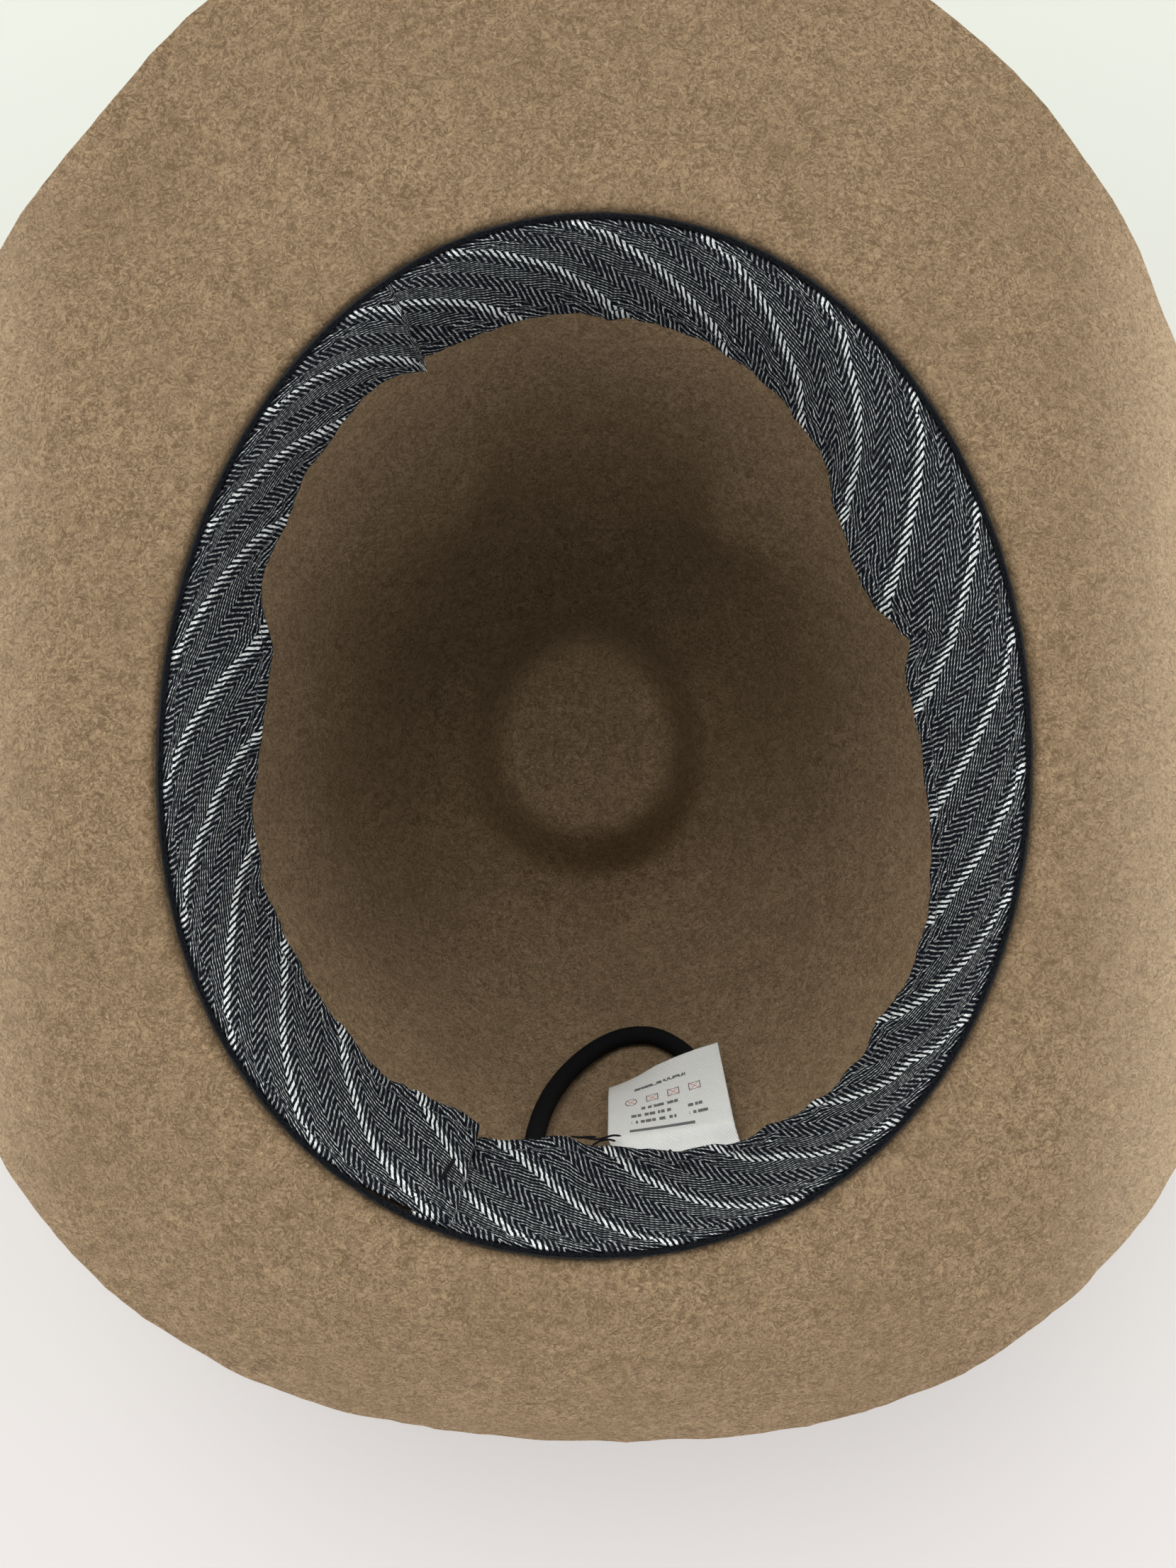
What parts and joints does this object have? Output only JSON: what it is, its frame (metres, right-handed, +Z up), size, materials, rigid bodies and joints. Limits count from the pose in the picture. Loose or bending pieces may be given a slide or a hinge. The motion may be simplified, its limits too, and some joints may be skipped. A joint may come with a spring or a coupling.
{
  "type": "felt cowboy hat",
  "caption": "Wool felt hat with teardrop crown, curled brim, twill sweatband, piping, outer ribbon with bow, hanging loop and care label, standing crown down.",
  "frame": {"origin": "on the surface that the crown's ridge stands on, under the middle of the hat's bounding box", "axes": "+Z up out of the head opening, as the hat lies crown down; +Y towards the front of the hat; +X towards the wearer's left"},
  "size_m": [0.2914, 0.326, 0.1146],
  "materials": {
    "felt": "matte camel wool felt",
    "ribbon": "fine ribbed ribbon",
    "brown_thread": "matte sewing thread",
    "herringbone_twill": "black and off-white herringbone weave",
    "black_tape": "matte woven tape",
    "reed_plastic": "smooth plastic cord",
    "black_thread": "matte sewing thread",
    "grey_thread": "matte sewing thread",
    "black_cord": "braided round cord",
    "label_satin": "white satin weave"
  },
  "bodies": {
    "hat": {"felt_body": "felt", "hatband_ribbon": "ribbon", "bow_front_loop": "ribbon", "bow_back_loop": "ribbon", "bow_knot": "ribbon", "hatband_tack_front": "brown_thread", "hatband_tack_right": "brown_thread", "hatband_tack_back": "brown_thread", "sweatband": "herringbone_twill", "sweatband_piping": "black_tape", "sweatband_reed": "reed_plastic", "sweatband_seam_thread": "black_thread", "sweatband_hem_thread": "grey_thread", "sweatband_join_tack": "black_thread", "hanging_loop_end_left": "black_cord", "hanging_loop_end_right": "black_cord", "hanging_loop_tack_left": "black_thread", "hanging_loop_tack_right": "black_thread", "care_label_tab": "label_satin", "thread_tail": "black_thread"},
    "loop": {"hanging_loop": "black_cord"},
    "label": {"care_label": "label_satin"}
  },
  "joints": [
    {"name": "loop_swing", "type": "hinge", "parent": "hat", "child": "loop", "pos_m": [0.0157, -0.0944, 0.0764], "axis": [0.9962, 0.0872, 0], "range_deg": [0, 115]},
    {"name": "label_swing", "type": "hinge", "parent": "hat", "child": "label", "pos_m": [0.0157, -0.0944, 0.0764], "axis": [0.9962, 0.0872, 0], "range_deg": [0, 115]}
  ],
  "couplings": [
    {"joint": "label_swing", "follows": "loop_swing", "ratio": 1}
  ]
}
